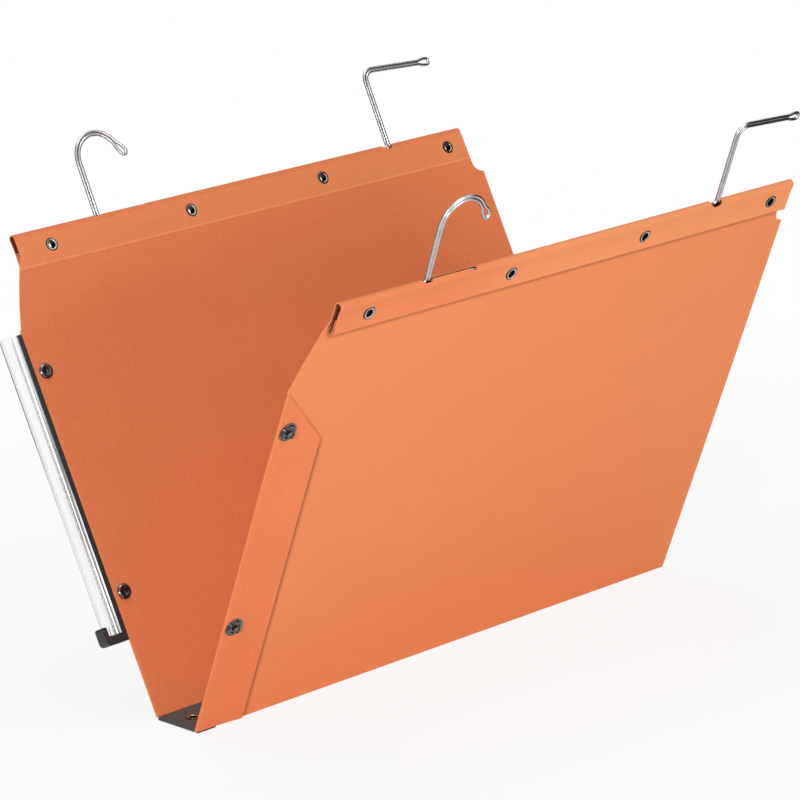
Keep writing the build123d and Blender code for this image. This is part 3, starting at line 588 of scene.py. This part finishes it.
ring = np.linspace(0, 2 * pi, 28, endpoint=False)
front_centre = FRONT_LEG + FRONT_BEND, HEM_TOP + FRONT_RISE
front_corners, front_bends = hairpin(FRONT_LEG, front_centre, FRONT_BEND, FRONT_FALL, FRONT_RUN)
rod_start, rod_end = [(HEM_FRONT + ROD_SHORT, WIRE_UP)], [(HEM_REAR - ROD_SHORT, WIRE_UP)]
for side, name, leg, arm in zip((-1, 1), ("near", "far"), REAR_LEGS, REAR_RUNS):
    rear_centre = leg + REAR_BEND, HEM_TOP + REAR_RISE
    rear_corners, rear_bends = hairpin(leg, rear_centre, REAR_BEND, REAR_FALL, arm)
    corners = np.vstack([rod_start, front_corners, rear_corners, rod_end])
    line, ways = wire_line(corners, np.array(front_bends + rear_bends))
    tips = line[:1] + ways[:1] * WIRE_TAPER, line[-1:] - ways[-1:] * WIRE_TAPER
    line = np.vstack([line[:1], tips[0], line[1:-1], tips[1], line[-1:]])
    ways = np.vstack([ways[:1], ways, ways[-1:]])
    thick = np.full((len(line), 1), WIRE / 2)
    thick[[0, -1]] -= WIRE_TAPER
    across_u = line[:, :1] - ways[:, 1:] * thick * np.cos(ring)
    across_v = line[:, 1:] + ways[:, :1] * thick * np.cos(ring)
    out = ROLL_OUT + thick * np.sin(ring) - WIRE_TILT * (line[:, 1:] - WIRE_UP)
    sections = on_panel(side, across_u, across_v, out)[None]
    wire = new_piece(f"{name}_hook_wire", *bars(sections), bright_wire)
    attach(wire, f"{name}_wire")
    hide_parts(f"{name}_hem_wire")


# Eyelets: plated steel tubes rolled over at both ends. Four hold each hem closed below its wire, and two
# rivet the base board to the bottom card; the front one's lower flange lies flush in the lip.
EYELET_BORE, EYELET_BARREL, EYELET_FLANGE, EYELET_RIM = 1.9, 2.3, 3.6, 0.45
INNER_FACE = -CARD / 2
HEM_GRIP, BASE_GRIPS = 3.38, (1.75, 1.0)  # lengths between the flanges

eyelet_steel, shader, place = finish("eyelet_steel", Metallic=1.0)
rubs = speckle(place, 0.9, 3.0)
# Painted reflection: the flange's outer rim and the bore are painted dark grey, for the dark surroundings
# they would mirror.
reach = place.node("ShaderNodeAttribute", {"attribute_name": "reach"}, {}, output=2)
outer = reach.node("ShaderNodeMapRange", {}, {"Value": reach, "From Min": 2.8, "From Max": 3.15})
inner = reach.node("ShaderNodeMapRange", {}, {"Value": reach, "From Min": 2.25, "From Max": 2.0})
plated = blend_dyes(rubs, dye(156, 156, 155), dye(204, 204, 202))
paint(
    shader,
    Base_Color=blend_dyes(outer + inner, plated, dye(40, 40, 39)),
    Roughness=0.16 + rubs * 0.14,
    Height=rubs * 0.01,
)


def turned(section, put):
    """A section of radii and levels turned about an axis at K seats; put(a, b, level) places the points."""
    turn = np.linspace(0, 2 * pi, 48, endpoint=False)
    radius, level = np.array(section, dtype=float).T[..., None]
    points = put(radius * np.cos(turn), radius * np.sin(turn), np.repeat(level, len(turn), axis=1))
    count, rows, size = points.shape[:3]
    faces = np.arange(count)[:, None, None] * rows * size + grid_faces(rows, size, around=True)
    return points, faces.reshape(-1, 4).tolist()


def eyelet_section(grip):
    """An eyelet's closed section: each flange is a half oval from the bore to the flange's edge."""
    over = np.linspace(pi, 0, 17)
    middle, reach = (EYELET_BORE + EYELET_FLANGE) / 2, (EYELET_FLANGE - EYELET_BORE) / 2
    crown = np.stack([middle + reach * np.cos(over), EYELET_RIM * np.sin(over)], axis=-1)
    barrel = [(EYELET_BARREL, grip), (EYELET_BARREL, 0.0)]
    lower = crown[::-1] * (1, -1)
    return np.vstack([crown + (0, grip), barrel, lower, crown[:1] + (0, grip)])


def mark_reach(piece, centres, way):
    """Stores on each point its distance in millimetres from the nearest axis, which runs along way."""
    points = np.empty(len(piece.data.vertices) * 3)
    piece.data.vertices.foreach_get("co", points)
    off = points.reshape(-1, 1, 3) * 1000 - centres
    off -= (off @ np.array(way))[..., None] * way
    reach = piece.data.attributes.new("reach", "FLOAT", "POINT")
    reach.data.foreach_set("value", np.linalg.norm(off, axis=2).min(axis=1).astype(np.float32))


def out_of(side):
    """The direction square to a panel, outwards."""
    return 0.0, side * cos(LEAN), -sin(LEAN)


def at_spots(side, spots, start):
    """Places a turned piece at (u, v) spots on a panel, with its levels counted out from w = start."""
    spots = np.array(spots, dtype=float)[:, None, None]
    return lambda a, b, level: on_panel(side, spots[..., 0] + a, spots[..., 1] + b, start + level[None])


hem_spots = [(u, EYELET_UP) for u in HEM_EYELETS]
for side, name in ((-1, "near"), (1, "far")):
    rings = turned(eyelet_section(HEM_GRIP), at_spots(side, hem_spots, INNER_FACE))
    eyelets = new_piece(f"{name}_eyelets", *rings, eyelet_steel)
    mark_reach(eyelets, on_panel(side, HEM_EYELETS, EYELET_UP, 0.0), out_of(side))
    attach(eyelets, f"{name}_side")
    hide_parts(f"{name}_hem_eyelets")

base_parts = [
    turned(eyelet_section(grip), lambda a, b, level: level_spot(x + a, b, foot + level)[None])
    for x, grip, foot in zip(BASE_EYELETS, BASE_GRIPS, RIVET_FEET)
]
base_points = np.concatenate([points.reshape(-1, 3) for points, _ in base_parts])
base_faces = base_parts[0][1] + (np.array(base_parts[1][1]) + base_parts[0][0].size // 3).tolist()
base_eyelets = new_piece("base_rivets", base_points, base_faces, eyelet_steel)
mark_reach(base_eyelets, level_spot(np.array(BASE_EYELETS), 0.0, 0.0), (0.0, 0.0, 1.0))
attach(base_eyelets, "base")
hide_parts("base_eyelets")


# Press studs: black lacquered brass, two along each front edge. The near panel carries the studs on its
# flap and the far panel the sockets on its label rail, each riveted through to a dished cap inside.
SNAP_SPOTS = [(6.5, 65.0), (6.5, 181.5)]
STUD_SEAT, SOCKET_SEAT, CAP_GRIP = 0.9, 1.9, 1.5
CAP_HALF, CAP_CREST, CAP_RISE, CAP_DISH, CAP_BRIM = 3.85, 2.7, 1.3, 0.5, 0.75
HIGHLIGHT_RING_AT, HIGHLIGHT_RING_APART = 3.4, 1.45  # radius of one painted highlight ring and the step to the next

black_snap, shader, place = finish("black_snap", Metallic=0.85, Coat_Roughness=0.03)
tarnish = speckle(place, 1.4, 3.0)
reach = place.node("ShaderNodeAttribute", {"attribute_name": "reach"}, {}, output=2)
# Painted highlight: lighter grey concentric rings on the studs and caps, spaced out from each axis.
wave = reach.maths("COSINE", (reach - HIGHLIGHT_RING_AT) * (2 * pi / HIGHLIGHT_RING_APART), 0.0)
crest = wave.node("ShaderNodeMapRange", {}, {"Value": wave, "From Min": 0.35, "From Max": 0.95})
lacquer = blend_dyes(tarnish, dye(24, 25, 25), dye(48, 48, 47))
paint(
    shader,
    Base_Color=blend_dyes(crest, lacquer, dye(92, 95, 94)),
    Roughness=0.12 + tarnish * 0.14,
    Coat_Weight=0.7 + tarnish * 0.3,
    Height=tarnish * 0.006,
)


def rounded(corners, rounds, steps=5):
    """A line through corners with each bend cut by a curve that starts and ends at rounds from it."""
    corners, rounds = np.array(corners, dtype=float), np.array(rounds, dtype=float)[:, None, None]
    before, at, after = corners[:-2, None], corners[1:-1, None], corners[2:, None]
    ways = np.stack([before - at, after - at])
    start, end = at + ways / np.linalg.norm(ways, axis=-1, keepdims=True) * rounds
    t = np.linspace(0, 1, steps)[None, :, None]
    curves = (1 - t) ** 2 * start + 2 * t * (1 - t) * at + t**2 * end
    return np.vstack([corners[:1], curves.reshape(-1, 2), corners[-1:]])


STUD_SECTION = rounded(
    [(0, 0.05), (5.0, 0.05), (5.0, 0.75), (4.15, 0.55), (3.75, 1.3), (3.05, 1.3), (2.6, 0.6)]
    + [(1.7, 0.6), (1.78, 1.6), (2.02, 2.4), (1.9, 3.4), (1.3, 3.5), (1.1, 2.9), (0, 2.8)],
    [0.05, 0.3, 0.2, 0.25, 0.25, 0.2, 0.2, 0.25, 0.35, 0.35, 0.2, 0.2],
)
SOCKET_SECTION = rounded(
    [(0, 0.0), (5.0, 0.0), (5.0, 3.4), (3.9, 3.4), (3.5, 3.0), (2.9, 3.4)]
    + [(2.12, 3.4), (2.12, 0.7), (0, 0.7)],
    [0.05, 0.7, 0.3, 0.25, 0.3, 0.25, 0.3],
)


def cap_section(grip):
    """A cap's section: a dished ring below its rolled edge, with the post through a stack grip thick.

    The face lies CAP_RISE out at its crest and falls from there by the dish at its middle, as the square of
    1 - (run / crest)^2, and by the brim at its edge, as the square of the run past the crest.
    """
    run = np.linspace(0, CAP_HALF, 27)
    dish = CAP_DISH * np.clip(1 - (run / CAP_CREST) ** 2, 0, None) ** 2
    brim = CAP_BRIM * np.clip((run - CAP_CREST) / (CAP_HALF - CAP_CREST), 0, None) ** 2
    face = np.stack([run, dish + brim - CAP_RISE], axis=-1)
    edge = rounded([face[-1], (4.05, -0.45), (4.0, 0.0), (1.2, 0.0)], [0.2, 0.1])[1:]
    return np.vstack([face, edge, [(1.2, grip), (0, grip)]])


for side, name, section, seat in (
    (-1, "near", STUD_SECTION, STUD_SEAT),
    (1, "far", SOCKET_SECTION, SOCKET_SEAT),
):
    halves = turned(section, at_spots(side, SNAP_SPOTS, seat))
    half = new_piece(f"{name}_press_halves", *halves, black_snap)
    heads = turned(cap_section(CAP_GRIP), at_spots(side, SNAP_SPOTS, INNER_FACE))
    caps = new_piece(f"{name}_press_caps", *heads, black_snap)
    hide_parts("near_snap_studs" if side < 0 else "far_snap_sockets")
    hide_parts(f"{name}_snap_posts")
    axes = on_panel(side, *np.array(SNAP_SPOTS).T, 0.0)
    for snap in (half, caps):
        mark_reach(snap, axes, out_of(side))
        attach(snap, f"{name}_side")


# Label holder: a black extruded rail on the far panel's front edge, held under the press sockets. A foot at
# its lower end carries a clear window with a lens front, and a blank paper strip slides in from above.
black_rail, shader, place = finish("black_rail", Specular_IOR_Level=0.45)
drag = speckle(place, 1.0, 3.0, (1.0, 1.0, 0.15))
paint(
    shader,
    Base_Color=blend_dyes(drag, dye(30, 30, 31), dye(48, 48, 48)),
    Roughness=0.38 + drag * 0.2,
    Height=drag * 0.02,
)

label_paper, shader, place = finish("label_paper", Specular_IOR_Level=0.25)
pulp = speckle(place, 0.7, 3.0)
paint(
    shader,
    Base_Color=blend_dyes(pulp, dye(236, 236, 233), dye(248, 248, 246)),
    Roughness=0.7 + pulp * 0.15,
    Height=pulp * 0.02,
)
for node, material in (("label_rail", black_rail), ("label_card", label_paper)):
    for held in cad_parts[node].material_slots:
        held.material = material

clear_window, shader, place = finish(
    "clear_window",
    Base_Color=dye(250, 251, 251),
    Transmission_Weight=1.0,
    IOR=1.49,
    Emission_Strength=1.0,
)
drag = speckle(place, 0.8, 2.0, (1.0, 1.0, 0.06))
# Painted reflection: within about 5 mm of the fold the window glows, through its emission, in grey and
# silver streaks, for the streaky reflections on its channel walls; the lens does not glow.
x = place.node("ShaderNodeSeparateXYZ", {}, {"Vector": place})
near_rail = {"Value": x, "From Min": (FRONT - 6.2) * 0.001, "From Max": (FRONT - 5.0) * 0.001}
channel = x.node("ShaderNodeMapRange", {}, near_rail)
streaks = speckle(place, 0.9, 1.0, (1.0, 0.01, 0.01))
bands = streaks.node("ShaderNodeMapRange", {}, {"Value": streaks, "From Min": 0.4, "From Max": 0.6})
painted_streak_glow = blend_dyes(bands, dye(70, 72, 74), dye(180, 183, 185))
paint(
    shader,
    Emission_Color=blend_dyes(channel, (0.0, 0.0, 0.0, 1.0), painted_streak_glow),
    Roughness=0.02 + drag * 0.06,
    Height=drag * 0.006,
)
LENS_AHEAD, LENS_RISE, LENS_MIDDLE, LENS_HALF = 9.65, 1.2, 3.05, 3.55
crown = np.linspace(-1, 1, 25)
lens_front = LENS_AHEAD + LENS_RISE * (1 - crown**2)
LENS = np.stack([lens_front, LENS_MIDDLE - LENS_HALF * crown], axis=-1)
CHANNELS = [(3.15, -0.5), (3.15, 0.85), (3.85, 0.85), (3.85, 0.05), (5.15, 0.05)]
CHANNELS += [(5.15, 2.75), (3.85, 2.75), (3.85, 1.95), (3.15, 1.95), (3.15, 6.6)]
WINDOW = np.vstack([LENS, CHANNELS])
LABEL_ROOM = np.array([(5.85, 0.2), (7.45, 0.2), (7.45, 5.9), (5.85, 5.9)])
WINDOW_FOOT, WINDOW_TOP, ROOM_FOOT, ROOM_TOP = 46.15, 202.5, 44.0, 206.0


def up_front(outline, low, high):
    """A bar up the far panel's front edge from an outline of distances ahead of the fold and out."""
    return bars(on_panel(1, -outline[:, 0], np.array([low, high])[None, :, None], outline[:, 1]))


window = new_piece("label_clear_window", *up_front(WINDOW, WINDOW_FOOT, WINDOW_TOP), clear_window)
cut_out(window, up_front(LABEL_ROOM, ROOM_FOOT, ROOM_TOP))
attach(window, "far_side")
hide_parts("label_window")


# Table and light: a white table top that fades into a white backdrop, under broad lamps low in front, to
# the left of the camera, overhead and behind, and a weak even sky. A dark screen behind the folder, which
# only glossy rays meet, gives steel and lacquer their dark edges.
TABLE_HALF, TABLE_GLOW, SKY = 4000, 0.88, 0.15
FADE_START, FADE_END = 0.25, 0.7  # metres from the middle of the table
SCREEN_ROUND, SCREEN_HALF, SCREEN_FOOT, SCREEN_TOP = 450, 105, 2, 540
SCREEN_WAY = 41.6  # degrees from the y axis to the middle of the screen, as the camera looks

table_top, shader, place = finish("table_top", Specular_IOR_Level=0.1)
mottle = speckle(place, 30, 2.0)
white = blend_dyes(mottle, dye(242, 242, 242), dye(245, 245, 245))
paint(shader, Base_Color=white, Roughness=0.8 + mottle * 0.1)
tree = table_top.node_tree
path = tree.nodes.new("ShaderNodeLightPath")
seen = sum(Tone(path.outputs[f"Is {kind} Ray"]) for kind in ("Camera", "Glossy", "Transmission"))
far_off = seen.node("ShaderNodeVectorMath", {"operation": "LENGTH"}, {"Vector": place}, output=1)
fading = {"Value": far_off, "From Min": FADE_START, "From Max": FADE_END}
fade = seen.node("ShaderNodeMapRange", {}, fading)
share = seen.node("ShaderNodeClamp", {}, {"Value": seen}) * (TABLE_GLOW + (1 - TABLE_GLOW) * fade)
glow = seen.node("ShaderNodeEmission", {}, {"Color": (1, 1, 1, 1), "Strength": 1.0})
plain = Tone(shader.outputs[0])
lit = seen.node("ShaderNodeMixShader", {}, {"Fac": share, "Shader": plain, "Shader_001": glow})
tree.links.new(lit.socket, tree.nodes["Material Output"].inputs["Surface"])
spread = np.linspace(-TABLE_HALF, TABLE_HALF, 9)
flat = level_spot(spread[:, None], spread, np.zeros((9, 9)))
table = new_piece("table", flat, grid_faces(9, 9).tolist(), table_top)

shade_card, shader, place = finish("shade_card", Specular_IOR_Level=0.0, Roughness=1.0)
weave = speckle(place, 60, 1.0)
paint(shader, Base_Color=blend_dyes(weave, dye(58, 58, 58), dye(64, 64, 64)))
turn = radians(SCREEN_WAY) + np.radians(np.linspace(-SCREEN_HALF, SCREEN_HALF, 33))
rise = np.linspace(SCREEN_FOOT, SCREEN_TOP, 5)[:, None]
screen = level_spot(SCREEN_ROUND * np.sin(turn), SCREEN_ROUND * np.cos(turn), rise)
shade = new_piece("shade_screen", screen, grid_faces(5, 33).tolist(), shade_card)
shade.visible_camera = shade.visible_diffuse = shade.visible_shadow = shade.visible_transmission = False

world = bpy.data.worlds.new("studio")
bpy.context.scene.world = world
world.use_nodes = True
backdrop = world.node_tree.nodes["Background"]
path = world.node_tree.nodes.new("ShaderNodeLightPath")
shown = sum(Tone(path.outputs[f"Is {kind} Ray"]) for kind in ("Camera", "Glossy", "Transmission"))
level = shown.node("ShaderNodeClamp", {}, {"Value": shown}) * (1 - SKY) + SKY
world.node_tree.links.new(level.socket, backdrop.inputs["Strength"])
backdrop.inputs["Color"].default_value = (1, 1, 1, 1)

LAMP_AIM = (0.0, 0.0, 0.1)
for name, place, size, power in (
    ("lamp_front", (0.3, -1.9, 0.12), 1.0, 18.0),
    ("lamp_left", (-1.82, -1.36, 0.77), 0.5, 29.5),
    ("lamp_top", (0.0, 0.1, 2.2), 1.2, 18.0),
    ("lamp_rear", (0.5, 2.0, 0.7), 1.3, 6.0),
):
    lamp = bpy.data.objects.new(name, bpy.data.lights.new(name, "AREA"))
    lamp.data.size, lamp.data.energy = size, power
    lamp.location = place
    back = np.array(place) - LAMP_AIM
    back /= np.linalg.norm(back)
    right = np.cross((0, 0, 1), back)
    right /= np.linalg.norm(right)
    axes = np.stack([right, np.cross(back, right), back], axis=1)
    lamp.rotation_euler = Matrix(axes.tolist()).to_euler()
    bpy.context.scene.collection.objects.link(lamp)


# Camera: a long lens from above the front of the near panel, as the photograph was taken.
camera = bpy.data.objects.new("camera", bpy.data.cameras.new("camera"))
camera.data.sensor_width, camera.data.lens = 36.0, 177.875
turn = Matrix.Rotation(radians(-41.888), 3, "Z")
tip = Matrix.Rotation(radians(74.797), 3, "X")
roll = Matrix.Rotation(radians(-3.409), 3, "Z")
camera.location = (-1.294289, -1.444914, 0.658078)
camera.rotation_euler = (turn @ tip @ roll).to_euler()
bpy.context.scene.collection.objects.link(camera)
bpy.context.scene.camera = camera
bpy.context.scene.view_settings.view_transform = "Standard"
